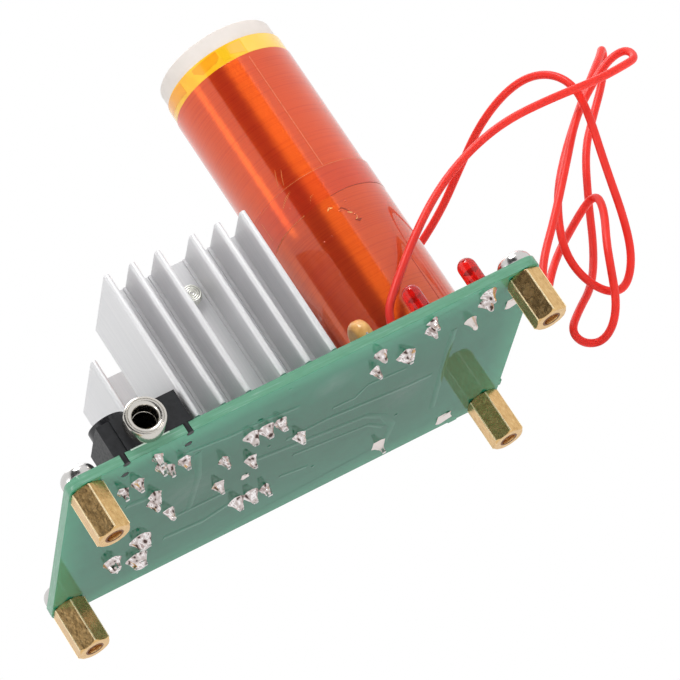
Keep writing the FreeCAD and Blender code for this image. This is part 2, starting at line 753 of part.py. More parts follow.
def winding_lead():
    """The winding's lower end, brought down to its pad."""
    pad_x, pad_y = winding_lead_pad
    away = Vector(pad_x - coil_x, pad_y - coil_y, 0)
    away.normalize()
    leave_radius = former_radius + winding_thick + film_thick + lower_wrap_thick + lead_slack
    level = board_top + winding_start + winding_lead_lift
    start = Vector(coil_x, coil_y, level) + away * leave_radius
    route = [tuple(start), (pad_x, pad_y, level), (pad_x, pad_y, tail_bottom)]
    lead = tube_along(route, winding_lead_radius)[0]
    add_joint(pad_x, pad_y, winding_lead_radius + lead_slack, lead)
    save("winding_lead", lead)


def primary_wire():
    """The loose insulated wire and its two bared ends."""
    tube, radii, length = tube_along(primary_route, wire_radius)
    expected = math.pi * wire_radius ** 2 * length
    print("primary wire radii:", " ".join(f"{radius:.1f}" for radius in radii))
    print(f"primary wire length {length:.1f}, volume {tube.Volume:.2f}, section times length {expected:.2f}")
    save("primary_wire", tube)
    ends = [straight_tail(point[0], point[1], core_radius, point[2])
            for point in (primary_route[0], primary_route[-1])]
    save("primary_wire_ends", *ends)


# Board and solder

def circuit_board():
    """The board, drilled for its screws and for every lead, with the solder under it."""
    board = block(around(0, board_length), around(0, board_width), (board_bottom, board_top))
    uprights = [edge for edge in board.Edges if edge.BoundBox.ZLength > board_thick / 2]
    board = board.makeFillet(board_corner_radius, uprights)
    edge_y = board_width / 2
    edge_x = board_length / 2
    board = board.fuse(block(around(back_nib_x, nib_width), (edge_y - nib_proud, edge_y + nib_proud),
                             (board_bottom, board_top)))
    board = board.fuse(block((edge_x - nib_proud, edge_x + nib_proud), around(right_nib_y, nib_width),
                             (board_bottom, board_top)))
    board = board.removeSplitter()
    holes = [(x, y, mount_hole_radius) for x, y in feet] + [(x, y, radius) for x, y, radius, tail in joints]
    for x, y, radius in holes:
        board = board.cut(rod(radius, board_thick + 2 * overrun, (x, y, board_bottom - overrun)))
    save("circuit_board", board)


def solder():
    """A cone of solder round each lead and a flat dot on each empty pad."""
    dots = []
    for x, y, hole_radius, tail in joints:
        if tail is None:
            continue
        foot_radius = max(solder_foot_radius, hole_radius + solder_neck_radius)
        neck_radius = max(solder_neck_radius, hole_radius + lead_slack)
        cone = Part.makeCone(neck_radius, foot_radius, solder_height, Vector(x, y, board_bottom - solder_height))
        dots.append(cone.cut(tail))
    for x, y in flat_pads:
        dots.append(rod(solder_foot_radius, pad_height, (x, y, board_bottom - pad_height)))
    save("solder_joints", *dots)


def bare_tails():
    """Clipped wire ends at joints whose part can't be told."""
    return [straight_tail(x, y, bare_tail_radius) for x, y in bare_joints]


standoffs()
board_screws()
driver_pair()
audio_socket()
power_socket()
electrolytic_capacitor()
for lamp_name, lamp_x in lamp_places:
    lamp(lamp_name, lamp_x, lamp_y)
disc_capacitor()
for resistor_name, resistor_x, resistor_y, lies_along_y in resistor_places:
    resistor(resistor_name, resistor_x, resistor_y, lies_along_y)
coil()
winding_lead()
primary_wire()
save("link_wire_ends", *bare_tails())
circuit_board()
solder()
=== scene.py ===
import json
import math
import random

import bmesh
import bpy
from mathutils import Matrix, Vector, noise

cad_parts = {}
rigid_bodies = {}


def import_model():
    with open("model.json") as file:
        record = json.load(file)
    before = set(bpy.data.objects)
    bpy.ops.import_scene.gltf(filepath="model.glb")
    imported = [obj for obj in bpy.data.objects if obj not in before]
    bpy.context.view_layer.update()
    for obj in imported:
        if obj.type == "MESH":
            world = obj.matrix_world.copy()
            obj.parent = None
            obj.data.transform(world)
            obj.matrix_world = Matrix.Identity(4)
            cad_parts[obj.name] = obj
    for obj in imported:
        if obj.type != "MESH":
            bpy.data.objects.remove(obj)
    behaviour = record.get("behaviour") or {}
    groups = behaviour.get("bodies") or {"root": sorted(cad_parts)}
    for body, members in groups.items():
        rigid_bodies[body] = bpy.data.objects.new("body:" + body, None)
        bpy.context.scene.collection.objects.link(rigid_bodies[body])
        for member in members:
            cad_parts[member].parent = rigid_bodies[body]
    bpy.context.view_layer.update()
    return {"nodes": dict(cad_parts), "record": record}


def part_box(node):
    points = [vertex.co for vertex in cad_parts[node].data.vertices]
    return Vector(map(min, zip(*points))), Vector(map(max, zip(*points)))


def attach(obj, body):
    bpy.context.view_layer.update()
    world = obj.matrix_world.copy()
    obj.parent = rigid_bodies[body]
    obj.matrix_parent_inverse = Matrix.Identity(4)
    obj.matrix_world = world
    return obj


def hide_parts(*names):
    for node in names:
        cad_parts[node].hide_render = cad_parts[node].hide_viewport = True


for leftover in list(bpy.data.objects):
    bpy.data.objects.remove(leftover)
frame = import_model()
nodes = frame["nodes"]

# Units and shared values

MM = 0.001
FULL_TURN = 2 * math.pi
SMOOTH_ANGLE = math.radians(35)
BODY = "board_assembly"
random.seed(7)


def mm(*values):
    """A place given in millimetres."""
    return Vector([value * MM for value in values])


def heading(angle):
    """The level direction at an angle from +X."""
    return Vector((math.cos(angle), math.sin(angle), 0))


def corners(places):
    """The lowest and the highest corner of some places."""
    spans = [(min(values), max(values)) for values in zip(*places)]
    return [Vector(corner) for corner in zip(*spans)]


# Camera

camera_place = mm(-193.15, -534.34, -192.29)
camera_azimuth = math.radians(21.31)
camera_elevation = math.radians(20.27)
camera_roll = math.radians(-33.71)
camera_lens = 214.1
sensor_width = 36
view_near = 0.01
view_far = 10


def make_camera():
    """The camera at the photograph's viewing angle."""
    forward = Vector((math.sin(camera_azimuth) * math.cos(camera_elevation),
                      math.cos(camera_azimuth) * math.cos(camera_elevation),
                      math.sin(camera_elevation)))
    level_right = forward.cross(Vector((0, 0, 1))).normalized()
    level_up = level_right.cross(forward)
    right = level_right * math.cos(camera_roll) + level_up * math.sin(camera_roll)
    up = right.cross(forward)
    data = bpy.data.cameras.new("camera")
    data.lens = camera_lens
    data.sensor_width = sensor_width
    data.clip_start = view_near
    data.clip_end = view_far
    camera = bpy.data.objects.new("camera", data)
    bpy.context.scene.collection.objects.link(camera)
    turn = Matrix((right, up, -forward)).transposed()
    camera.matrix_world = Matrix.Translation(camera_place) @ turn.to_4x4()
    bpy.context.scene.camera = camera


make_camera()


# Primary wire

wire_radius = 0.65 * MM
wire_round_steps = 6
wire_run_steps = 8
wire_spline_order = 3
primary_route = [
    (17.9, -12.4, 10.0), (18.3, -12.8, 14.3), (22.3, -12.9, 18.3), (30.1, -13.0, 24.7), (37.2, -13.1, 29.5),
    (44.4, -13.6, 32.6), (52.0, -14.3, 34.3), (60.1, -15.0, 34.1), (68.4, -14.9, 33.6), (74.5, -13.5, 34.5),
    (77.7, -12.2, 35.4), (78.1, -10.4, 38.2), (75.6, -9.1, 38.6), (70.9, -8.7, 36.3), (64.9, -8.8, 32.2),
    (58.2, -10.0, 25.1), (51.3, -10.6, 17.9), (45.5, -10.9, 12.4), (42.4, -12.0, 8.0), (41.7, -12.0, 5.3),
    (42.1, -9.4, 4.6), (43.5, -7.7, 7.0), (46.2, -6.3, 10.4), (51.4, -3.4, 15.1), (56.8, -1.6, 18.7),
    (59.8, -2.2, 20.4), (61.5, -2.9, 21.1), (62.3, -4.1, 20.6), (61.6, -5.4, 18.6), (60.2, -6.3, 15.9),
    (57.2, -8.1, 11.5), (55.2, -8.0, 7.1), (54.0, -5.7, 3.0), (52.7, -2.1, 0.9), (51.1, 1.3, 0.8),
    (48.4, 1.0, 2.0), (47.5, -0.3, 4.2), (50.9, 0.6, 6.9), (55.8, 2.3, 10.1), (60.0, 3.2, 15.5),
    (64.3, 3.2, 23.8), (68.8, 3.1, 31.6), (73.8, 3.9, 36.5), (78.3, 3.9, 40.8), (80.4, 3.6, 43.6),
    (81.0, 2.5, 45.0), (80.4, 1.0, 45.1), (78.9, -0.1, 43.6), (75.8, -2.0, 41.1), (70.3, -3.6, 36.7),
    (62.7, -4.0, 30.1), (56.8, -5.2, 23.9), (53.1, -5.7, 17.9), (51.5, -5.6, 12.9), (52.3, -4.8, 8.5),
    (54.9, -3.7, 5.5), (57.9, -3.5, 5.3), (60.9, -4.8, 8.7), (62.9, -6.1, 14.4), (64.0, -9.3, 22.6),
    (65.4, -12.1, 30.2), (66.1, -12.4, 35.4), (65.0, -10.8, 39.6), (62.6, -7.8, 42.3), (59.2, -4.0, 43.0),
    (54.8, 0.4, 41.8), (50.0, 4.2, 38.6), (43.7, 7.9, 34.1), (35.1, 11.7, 30.1), (28.9, 14.3, 26.2),
    (23.8, 16.2, 20.9), (19.3, 17.1, 15.8), (17.7, 17.0, 10.0),
]


def link(obj, body=BODY):
    """Put a new object in the scene and let it ride on a body."""
    bpy.context.scene.collection.objects.link(obj)
    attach(obj, body)
    return obj


def make_primary_wire():
    """The stiff wire as a tube round one smooth line."""
    curve = bpy.data.curves.new("primary_wire_run", "CURVE")
    curve.dimensions = "3D"
    curve.bevel_resolution = wire_round_steps
    curve.resolution_u = wire_run_steps
    curve.use_fill_caps = True
    spline = curve.splines.new("NURBS")
    spline.points.add(len(primary_route) - 1)
    for point, place in zip(spline.points, primary_route):
        point.co = (*mm(*place), 1)
    spline.order_u = wire_spline_order
    spline.use_endpoint_u = True
    source = bpy.data.objects.new("primary_wire_line", curve)
    line = bpy.data.meshes.new_from_object(source)
    curve.bevel_depth = wire_radius
    tube = bpy.data.meshes.new_from_object(source)
    tube.shade_smooth()
    bpy.data.objects.remove(source)
    wire = link(bpy.data.objects.new("primary_wire_run", tube))
    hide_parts("primary_wire")
    return wire


primary_wire = make_primary_wire()


# Node helpers

noise_low = 0.3
noise_high = 0.7


class Tree:
    """The nodes of a material or of the world."""

    def __init__(self, owner):
        owner.use_nodes = True
        self.nodes = owner.node_tree.nodes
        self.links = owner.node_tree.links

    def feed(self, socket, value):
        """Join a socket to another node's output, or give it a plain value."""
        if isinstance(value, bpy.types.NodeSocket):
            self.links.new(value, socket)
        elif socket.type == "RGBA":
            socket.default_value = (*value, 1)
        else:
            socket.default_value = value

    def add(self, kind, inputs=None, **settings):
        """A new node with its settings and with what goes into its sockets."""
        node = self.nodes.new(kind)
        for name, value in settings.items():
            setattr(node, name, value)
        for socket, value in (inputs or {}).items():
            self.feed(node.inputs[socket], value)
        return node

    def calculate(self, operation, *values):
        """A number worked out from fields or plain numbers."""
        return self.add("ShaderNodeMath", dict(enumerate(values)), operation=operation).outputs["Value"]

    def rescale(self, field, start, end, low=0.0, high=1.0):
        """A field's range from start to end, mapped from low to high and kept between them."""
        limits = {"From Min": start, "From Max": end, "To Min": low, "To Max": high}
        return self.add("ShaderNodeMapRange", {"Value": field, **limits}).outputs["Result"]

    def along(self, vector, axis):
        """One coordinate of a vector field."""
        return self.add("ShaderNodeSeparateXYZ", {"Vector": vector}).outputs[axis]

    def blend(self, share, first, second):
        """A shader that goes from the first to the second."""
        return self.add("ShaderNodeMixShader", {0: share, 1: first, 2: second}).outputs["Shader"]

    def mirrored(self, path):
        """1 for a ray that gloss or glass sends on."""
        return self.calculate("MAXIMUM", path["Is Glossy Ray"], path["Is Transmission Ray"])


class Surface(Tree):
    """A procedural material built on one Principled shader, with plain values for its sockets."""

    def __init__(self, name, values):
        self.material = bpy.data.materials.new(name)
        super().__init__(self.material)
        principled = self.nodes["Principled BSDF"]
        self.inputs = principled.inputs
        self.shader = principled.outputs["BSDF"]
        self.output = self.nodes["Material Output"].inputs["Surface"]
        for socket, value in values.items():
            self.set(socket, value)

    def set(self, socket, value):
        """Give one of the shader's own sockets a plain value or a field."""
        self.feed(self.inputs[socket], value)

    def coordinates(self, scale=(1, 1, 1)):
        """Object coordinates in millimetres, stretched by a scale for each axis."""
        place = self.add("ShaderNodeTexCoord").outputs["Object"]
        per_metre = [value / MM for value in scale]
        return self.add("ShaderNodeMapping", {"Vector": place, "Scale": per_metre}).outputs["Vector"]

    def noise(self, per_mm, detail=3, stretch=(1, 1, 1), roughness=0.55):
        """A noise field; per_mm is its frequency along an axis with a stretch of one."""
        inputs = {"Vector": self.coordinates(stretch), "Scale": per_mm, "Detail": detail,
                  "Roughness": roughness}
        return self.add("ShaderNodeTexNoise", inputs).outputs["Fac"]

    def ramp(self, field, stops):
        """Colours along a field; stops are pairs of a place from 0 to 1 and a colour."""
        node = self.add("ShaderNodeValToRGB", {"Fac": field})
        elements = node.color_ramp.elements
        while len(elements) < len(stops):
            elements.new(0.5)
        for element, (place, colour) in zip(elements, stops):
            element.position = place
            element.color = (*colour, 1)
        return node.outputs["Color"]

    def span(self, field, low, high):
        """A noise field's usual range mapped from low to high."""
        return self.rescale(field, noise_low, noise_high, low, high)

    def sideways(self):
        """1 where a face stands upright and 0 where it lies flat."""
        normal = self.add("ShaderNodeNewGeometry").outputs["Normal"]
        return self.span(self.calculate("ABSOLUTE", self.along(normal, "Z")), 1.0, 0.0)

    def near(self, place, reach):
        """1 at a place in millimetres, falling to 0 at a reach from it."""
        distance = self.add("ShaderNodeVectorMath", {0: self.coordinates(), 1: place}, operation="DISTANCE")
        return self.rescale(distance.outputs["Value"], 0.0, reach, 1.0, 0.0)

    def across(self, axis, start, end):
        """0 at one place along an axis and 1 at another, in millimetres."""
        return self.rescale(self.along(self.coordinates(), axis), start, end)

    def mix(self, share, first, second):
        """Two colours mixed by a field."""
        node = self.add("ShaderNodeMix", {"Factor": share}, data_type="RGBA")
        colour_inputs = [socket for socket in node.inputs if socket.type == "RGBA"]
        for socket, value in zip(colour_inputs, (first, second)):
            self.feed(socket, value)
        return [socket for socket in node.outputs if socket.type == "RGBA"][0]

    def bump(self, field, depth_mm):
        """Relief of a depth in millimetres; several calls stack."""
        node = self.add("ShaderNodeBump", {"Height": field, "Distance": depth_mm * MM})
        normal = self.inputs["Normal"]
        if normal.is_linked:
            self.feed(node.inputs["Normal"], normal.links[0].from_socket)
        self.feed(normal, node.outputs["Normal"])


def tone(red, green, blue):
    """A linear colour from the usual 0 to 255 screen values."""
    def linear(value):
        share = value / 255
        return share / 12.92 if share <= 0.04045 else ((share + 0.055) / 1.055) ** 2.4
    return (linear(red), linear(green), linear(blue))


def two_tones(dark, pale, start=noise_low, end=noise_high):
    """Colour stops from one screen colour to another."""
    return [(start, tone(*dark)), (end, tone(*pale))]


# Materials

board_low, board_high = [Vector(corner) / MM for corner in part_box("circuit_board")]
edge_band_start = 1.2
edge_band = 4.5
# Edge tone: paler lacquer where no copper lies beneath, plus painted light spilling in through the edge
edge_green_and_light_spill = tone(62, 148, 116)
cut_cloth = [(0.35, tone(96, 150, 122)), (0.6, tone(108, 160, 134)), (0.75, tone(140, 172, 156))]
smudge_grey = tone(120, 160, 146)
smudges = [(-18.5, -1.5, 6.5), (5.0, -14.5, 4.0), (20.0, 1.5, 5.0)]
brass_grain = [(0.3, tone(200, 160, 106)), (0.42, tone(214, 175, 117)),
               (0.58, tone(221, 182, 125)), (0.75, tone(232, 198, 140))]
# Solder's colour stops paint random white glints and dark reflections into the metal
solder_glints_and_dark_reflections = [(0.33, tone(78, 62, 58)), (0.37, tone(184, 172, 168)), (0.55, tone(214, 204, 202)),
                  (0.62, tone(242, 238, 238)), (0.74, tone(176, 160, 156))]
drawn_lines = (3.2, 5, (1, 1, 0.012))
clear_coat = {"Coat Weight": 1.0, "Coat Roughness": 0.02, "Coat IOR": 1.54}
film_gleam = [(0.36, (0.88, 0.14, 0.008)), (0.52, (1.0, 0.18, 0.012))]
lap_gleam = [(0.36, (0.8, 0.1, 0.006)), (0.52, (0.92, 0.13, 0.01))]
gleam_share = 0.4
wave_depth = 0.04 * MM
metal_shine_shares = (0.7, 1.4)
plastic_shine_shares = (0.8, 1.25)


def board_mask(name, dark, pale):
    """Glossy green lacquer with the bare cut glass cloth on its sides; along the board's edges it is paler
    where no copper lies beneath, and lighter still with painted light spilling in through the edge.
    """
    made = Surface(name, {"IOR": 1.3})
    base = made.ramp(made.noise(0.08, 4), two_tones(dark, pale, 0.36, 0.64))
    inside = made.across("Y", board_low.y + edge_band_start, board_low.y + edge_band)
    for axis, edge, inward in (("X", board_low.x, edge_band), ("X", board_high.x, -edge_band),
                               ("Y", board_high.y, -edge_band)):
        inside = made.calculate("MINIMUM", inside, made.across(axis, edge, edge + inward))
    # The edge band is a paler lacquer with painted light spill on top of it
    base = made.mix(inside, edge_green_and_light_spill, base)
    for x, y, reach in smudges:
        haze = made.calculate("MULTIPLY", made.near((x, y, board_low.z), reach), made.noise(0.5, 4))
        base = made.mix(haze, base, smudge_grey)
    side = made.ramp(made.noise(1.0, 4, (0.25, 0.25, 4.0)), cut_cloth)
    made.set("Base Color", made.mix(made.sideways(), base, side))
    made.set("Roughness", made.span(made.noise(0.5), 0.02, 0.05))
    made.bump(made.noise(0.22, 2), 0.02)
    return made.material


def brass():
    """Drawn and faced brass with a fine grain, slightly wavy on its flats."""
    made = Surface("brass", {"Metallic": 1.0})
    made.set("Base Color", made.ramp(made.noise(2.2, 2, (1, 1, 0.6)), brass_grain))
    made.set("Roughness", made.span(made.noise(1.4, 4), 0.2, 0.32))
    made.bump(made.calculate("MULTIPLY", made.noise(1.6, 1), made.sideways()), 0.02)
    made.bump(made.noise(0.8, 2), 0.012)
    return made.material


def winding_under_film(name, deep, pale, gleam):
    """Hair-fine enamelled turns that gleam through clear amber film."""
    made = Surface(name, {"Roughness": 0.4, "Specular IOR Level": 0.2, **clear_coat})
    made.set("Base Color", made.ramp(made.noise(0.12, 3, (1, 1, 0.35)), two_tones(deep, pale, 0.35, 0.65)))
    turns = made.ramp(made.noise(1.0, 3, (0.07, 0.07, 4.5)), gleam)
    round_axis = made.add("ShaderNodeTangent", direction_type="RADIAL", axis="Z")
    ripples = made.noise(0.8, 4, (0.5, 0.5, 3.0))
    waves = made.add("ShaderNodeBump", {"Height": ripples, "Distance": wave_depth})
    winding = made.add("ShaderNodeBsdfPrincipled", {
        "Base Color": turns, "Roughness": 0.3, "Metallic": 1.0, "Normal": waves.outputs["Normal"],
        "Anisotropic": 1.0, "Anisotropic Rotation": 0.25, "Tangent": round_axis.outputs["Tangent"],
        **clear_coat})
    made.feed(made.output, made.blend(gleam_share, made.shader, winding.outputs["BSDF"]))
    return made.material


def procedural(name, values, bumps, colours=None, shine=None):
    """A material from plain values and noises, each given as what Surface.noise takes.

    Bumps are pairs of a noise and a depth in millimetres. Colours are a noise and its stops, and
    shine is a noise with the lowest and the highest roughness.
    """
    made = Surface(name, values)
    if colours:
        made.set("Base Color", made.ramp(made.noise(*colours[0]), colours[1]))
    if shine:
        made.set("Roughness", made.span(made.noise(*shine[0]), shine[1], shine[2]))
    for grain, depth_mm in bumps:
        made.bump(made.noise(*grain), depth_mm)
    return made.material


def plated_metal(name, colour, roughness, depth_mm=0.01):
    """Plated or tinned metal with a slightly uneven skin."""
    return procedural(name, {"Base Color": tone(*colour), "Metallic": 1.0}, [((4.0,), depth_mm)],
                      shine=((3.0, 4), *[roughness * share for share in metal_shine_shares]))


def plain_plastic(name, colour, roughness):
    """Smooth plastic with a faint grain."""
    return procedural(name, {"Base Color": tone(*colour)}, [((2.0,), 0.01)],
                      shine=((1.5, 4), *[roughness * share for share in plastic_shine_shares]))


def yellow_tape(name, deep, pale):
    """Glossy yellow tape, a little uneven where it lies in more layers."""
    return procedural(name, {"Roughness": 0.25, "Coat Weight": 0.7, "Coat Roughness": 0.08},
                      [((0.3, 2), 0.05)], colours=((0.25,), two_tones(deep, pale, 0.36, 0.56)))


node_materials = {
    "board": board_mask("green_mask", (32, 119, 93), (44, 129, 103)),
    "brass_post": brass(),
    "screw_steel": plated_metal("screw_steel", (206, 204, 202), 0.2, 0.008),
    "heatsink": procedural(
        "drawn_aluminium", {"Metallic": 0.3}, [(drawn_lines, 0.004), ((6.0,), 0.002)],
        colours=(drawn_lines, two_tones((217, 217, 219), (227, 226, 227), 0.25, 0.75)),
        shine=((1.2, 4, (1, 1, 0.1)), 0.44, 0.56)),
    "tinned": plated_metal("tinned_metal", (208, 206, 204), 0.28),
    "black_moulding": procedural(
        "black_moulding", {"Specular IOR Level": 0.3}, [((9.0,), 0.006)],
        colours=((1.4, 4), two_tones((22, 23, 25), (34, 35, 38))), shine=((2.5,), 0.38, 0.55)),
    "nickel": plated_metal("nickel_plate", (204, 199, 190), 0.26, 0.003),
    "spring_bronze": plated_metal("spring_bronze", (196, 172, 120), 0.28),
    "can_aluminium": plated_metal("can_aluminium", (214, 214, 216), 0.3),
    "black_sleeve": plain_plastic("black_sleeve", (30, 30, 33), 0.25),
    "bung_rubber": plain_plastic("bung_rubber", (34, 34, 34), 0.7),
    "red_lens": procedural(
        "red_lens", {"Roughness": 0.04, "Transmission Weight": 0.74, "IOR": 1.5}, [((0.9, 2), 0.006)],
        colours=((0.6, 2), two_tones((246, 30, 26), (252, 44, 34)))),
    "ochre_ceramic": procedural(
        "ochre_dip", {"Roughness": 0.38, "Coat Weight": 0.3}, [((1.5, 4), 0.05)],
        colours=((1.1, 5), two_tones((216, 152, 72), (238, 184, 108)))),
    "resistor_lacquer": procedural(
        "resistor_lacquer", {"Base Color": tone(206, 178, 132), "Roughness": 0.35, "Coat Weight": 0.3},
        [((1.8, 4), 0.03)]),
    "white_tube": procedural(
        "white_tube", {"Subsurface Weight": 0.1, "Subsurface Radius": mm(1, 1, 1)}, [((1.2, 5), 0.01)],
        colours=((0.25,), two_tones((221, 213, 206), (228, 220, 214))),
        shine=((1.6, 4, (1, 1, 0.2)), 0.32, 0.5)),
    "winding_enamel": procedural(
        "winding_enamel", {"Base Color": tone(150, 60, 24), "Roughness": 0.3, "Metallic": 0.6},
        [((1.0, 4, (0.03, 0.03, 6.0)), 0.01)]),
    "orange_film": winding_under_film("orange_film", (180, 18, 6), (194, 30, 10), film_gleam),
    "yellow_tape": yellow_tape("yellow_tape", (246, 182, 18), (251, 195, 32)),
    "clear_glue": procedural(
        "clear_glue", {"Base Color": tone(236, 228, 206), "Roughness": 0.15, "Transmission Weight": 0.4},
        [((0.6,), 0.08)]),
    "red_insulation": procedural(
        "red_insulation", {"Specular IOR Level": 0.35}, [],
        colours=((0.3,), two_tones((228, 38, 27), (238, 48, 34))), shine=((1.2, 1), 0.36, 0.44)),
    "solder": procedural(
        "solder", {"Metallic": 1.0}, [((1.4, 1), 0.055)],
        colours=((1.5, 1, (1, 1, 1), 0.3), solder_glints_and_dark_reflections), shine=((2.0, 1), 0.08, 0.18)),
}
# Painted shade: the lower wrap's film gets darker tones than the upper film, standing for the heatsink's
# shadow on it
shaded_lower_film = winding_under_film("shaded_lower_film", (168, 14, 4), (186, 26, 8), film_gleam)
lapped_film = winding_under_film("lapped_film", (174, 15, 5), (188, 25, 8), lap_gleam)
# Pale tan for painted highlights along the film's edges, creases and wrinkles
film_edge_highlight = plain_plastic("film_edge_highlight", (212, 112, 56), 0.3)
film_fold = plain_plastic("film_fold", (182, 44, 20), 0.3)
film_seam = plain_plastic("film_seam", (222, 108, 68), 0.3)
film_glint = plain_plastic("film_glint", (250, 206, 130), 0.2)
film_edge_dark = plain_plastic("film_edge_dark", (146, 50, 20), 0.3)
ochre_tape = yellow_tape("ochre_tape", (240, 152, 6), (246, 164, 14))
deep_tape = yellow_tape("deep_tape", (238, 184, 4), (242, 190, 8))
peach_tape = yellow_tape("peach_tape", (250, 184, 60), (252, 188, 68))
pale_tape = yellow_tape("pale_tape", (248, 200, 66), (248, 204, 78))
raised_mask = board_mask("raised_mask", (40, 128, 101), (52, 138, 111))
# Thread crest brass: browned by cutting oil, and darkened further as painted shade inside the hole
tapped_brass = procedural(
    "brass_thread", {"Base Color": tone(176, 116, 64), "Roughness": 0.24, "Metallic": 1.0},
    [((1.0, 1), 0.002)])
turned_steel = plated_metal("turned_steel", (238, 238, 230), 0.5)
hole_shade = plated_metal("hole_shade", (120, 76, 44), 0.4)
# Nearly white brass for painted highlights along the posts' edges
edge_highlight_brass = plated_metal("edge_highlight_brass", (255, 236, 196), 0.5)
pad_tin = plated_metal("pad_tin", (222, 212, 208), 0.34)
turned_nickel = plated_metal("turned_nickel", (206, 202, 195), 0.2, 0.0008)
pale_strip_surface = plain_plastic("pale_strip_surface", (206, 226, 212), 0.4)
cup_metal = plated_metal("lamp_cup_metal", (250, 140, 140), 0.4)


def dress_nodes():
    """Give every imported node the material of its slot."""
    slots = {entry["node"]: entry["material_slot"] for entry in frame["record"]["subparts"]}
    for name, obj in nodes.items():
        obj.data.materials.clear()
        obj.data.materials.append(node_materials[slots[name]])
    primary_wire.data.materials.append(node_materials["red_insulation"])


dress_nodes()


# Broken edges

bevel_widths = {
    "circuit_board": 0.08, "front_heatsink": 0.06, "back_heatsink": 0.06, "audio_jack_body": 0.14,
    "power_jack_body": 0.2, "front_transistor_case": 0.15, "back_transistor_case": 0.15,
    "front_transistor_tab": 0.08, "back_transistor_tab": 0.08, "standoffs": 0.12, "board_screws": 0.06,
    "heatsink_screws": 0.06, "power_jack_terminals": 0.04, "power_jack_pin": 0.15,
}
bevel_steps = 2
bevel_limit = math.radians(32)
weld_distance = 0.002 * MM


def soften(name, width_mm):
    """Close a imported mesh's seams and break its sharp edges."""
    obj = nodes[name]
    weld = obj.modifiers.new("weld", "WELD")
    weld.merge_threshold = weld_distance
    bevel = obj.modifiers.new("bevel", "BEVEL")
    bevel.width = width_mm * MM
    bevel.segments = bevel_steps
    bevel.limit_method = "ANGLE"
    bevel.angle_limit = bevel_limit
    bevel.harden_normals = True


for softened, width in bevel_widths.items():
    soften(softened, width)


# Mesh helpers

def finish_mesh(builder, name, slot, replaced=(), material=None, smooth=True):
    """Turn a bmesh into a piece that rides on the board and stands for some nodes."""
    mesh = bpy.data.meshes.new(name)
    bmesh.ops.recalc_face_normals(builder, faces=builder.faces)
    builder.to_mesh(mesh)
    builder.free()
    if smooth:
        mesh.shade_smooth()
        mesh.set_sharp_from_angle(angle=SMOOTH_ANGLE)
    mesh.materials.append(material or node_materials[slot])
    piece = link(bpy.data.objects.new(name, mesh))
    if replaced:
        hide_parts(*replaced)


def bridge(builder, first, second):
    """Faces between two closed rings of corners."""
    for step in range(len(first)):
        after = (step + 1) % len(first)
        builder.faces.new((first[step], first[after], second[after], second[step]))


def skin(builder, rings):
    """Faces along a row of rings, closed at both ends."""
    for first, second in zip(rings, rings[1:]):
        bridge(builder, first, second)
    builder.faces.new(rings[0])
    builder.faces.new(rings[-1])


def turned(builder, profile, centre, sides, axis="Z"):
    """Add a closed ring of revolution; the profile is pairs of a radius and a place along the axis."""
    rings = []
    for radius, along in profile:
        ring = []
        for step in range(sides):
            angle = FULL_TURN * step / sides
            first, second = radius * math.cos(angle), radius * math.sin(angle)
            if axis == "Z":
                place = (centre[0] + first, centre[1] + second, along)
            else:
                place = (centre[0] + first, along, centre[2] + second)
            ring.append(builder.verts.new(place))
        rings.append(ring)
    for first, second in zip(rings, rings[1:] + rings[:1]):
        bridge(builder, first, second)


def turned_mm(builder, profile, centre, sides, axis="Z"):
    """A ring of revolution from a profile in millimetres."""
    turned(builder, [(radius * MM, along * MM) for radius, along in profile], centre, sides, axis)


ring_section_sides = 8
place_digits = 7


def round_ring(builder, radius, thickness, along, centre, sides, axis="Z"):
    """Add a thin ring with a round section."""
    section = [(radius + thickness * math.cos(FULL_TURN * step / ring_section_sides),
                along + thickness * math.sin(FULL_TURN * step / ring_section_sides))
               for step in range(ring_section_sides)]
    turned(builder, section, centre, sides, axis)


def node_span(name):
    """The lowest and the highest corner of a node."""
    return [Vector(corner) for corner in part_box(name)]


def round_reach(name):
    """The radius of an upright round node."""
    low, high = node_span(name)
    return (high.x - low.x) / 2


def loose_parts(name):
    """The separate solids of a node, each as its list of corner places."""
    mesh = nodes[name].data
    keys = [tuple(round(value, place_digits) for value in vertex.co) for vertex in mesh.vertices]
    parent = {key: key for key in keys}

    def root(key):
        while parent[key] != key:
            parent[key] = parent[parent[key]]
            key = parent[key]
        return key

    for polygon in mesh.polygons:
        first = root(keys[polygon.vertices[0]])
        for index in polygon.vertices[1:]:
            parent[root(keys[index])] = first
    groups = {}
    for key in parent:
        groups.setdefault(root(key), []).append(Vector(key))
    return sorted(groups.values(), key=lambda group: (group[0].x, group[0].y))


# Coil

coil_sides = 192
edge_round = 0.15 * MM


def tube_profile(inner, outer, bottom, top, rounding):
    """A tube's section with softly broken edges."""
    return [(inner, bottom + rounding), (inner + rounding, bottom), (outer - rounding, bottom),
            (outer, bottom + rounding), (outer, top - rounding), (outer - rounding, top),
            (inner + rounding, top), (inner, top - rounding)]


coil_layers = [
    ("coil_former", "white_tube", 2.0, None),
    ("secondary_winding", "winding_enamel", 0.25, None),
    ("winding_film", "orange_film", 0.2, None),
    ("lower_film_wrap", "orange_film", 0.25, shaded_lower_film),
    ("top_tape_ring", "yellow_tape", 0.3, None),
]


def make_coil():
    """The tube, the winding and its films, turned finely enough to reflect cleanly."""
    for name, slot, thick_mm, material in coil_layers:
        low, high = node_span(name)
        outer = round_reach(name)
        thick = thick_mm * MM
        profile = tube_profile(outer - thick, outer, low.z, high.z, min(edge_round, thick / 4))
        builder = bmesh.new()
        turned(builder, profile, (low + high) / 2, coil_sides)
        finish_mesh(builder, name + "_turned", slot, [name], material)


make_coil()


# Marks on the coil's films

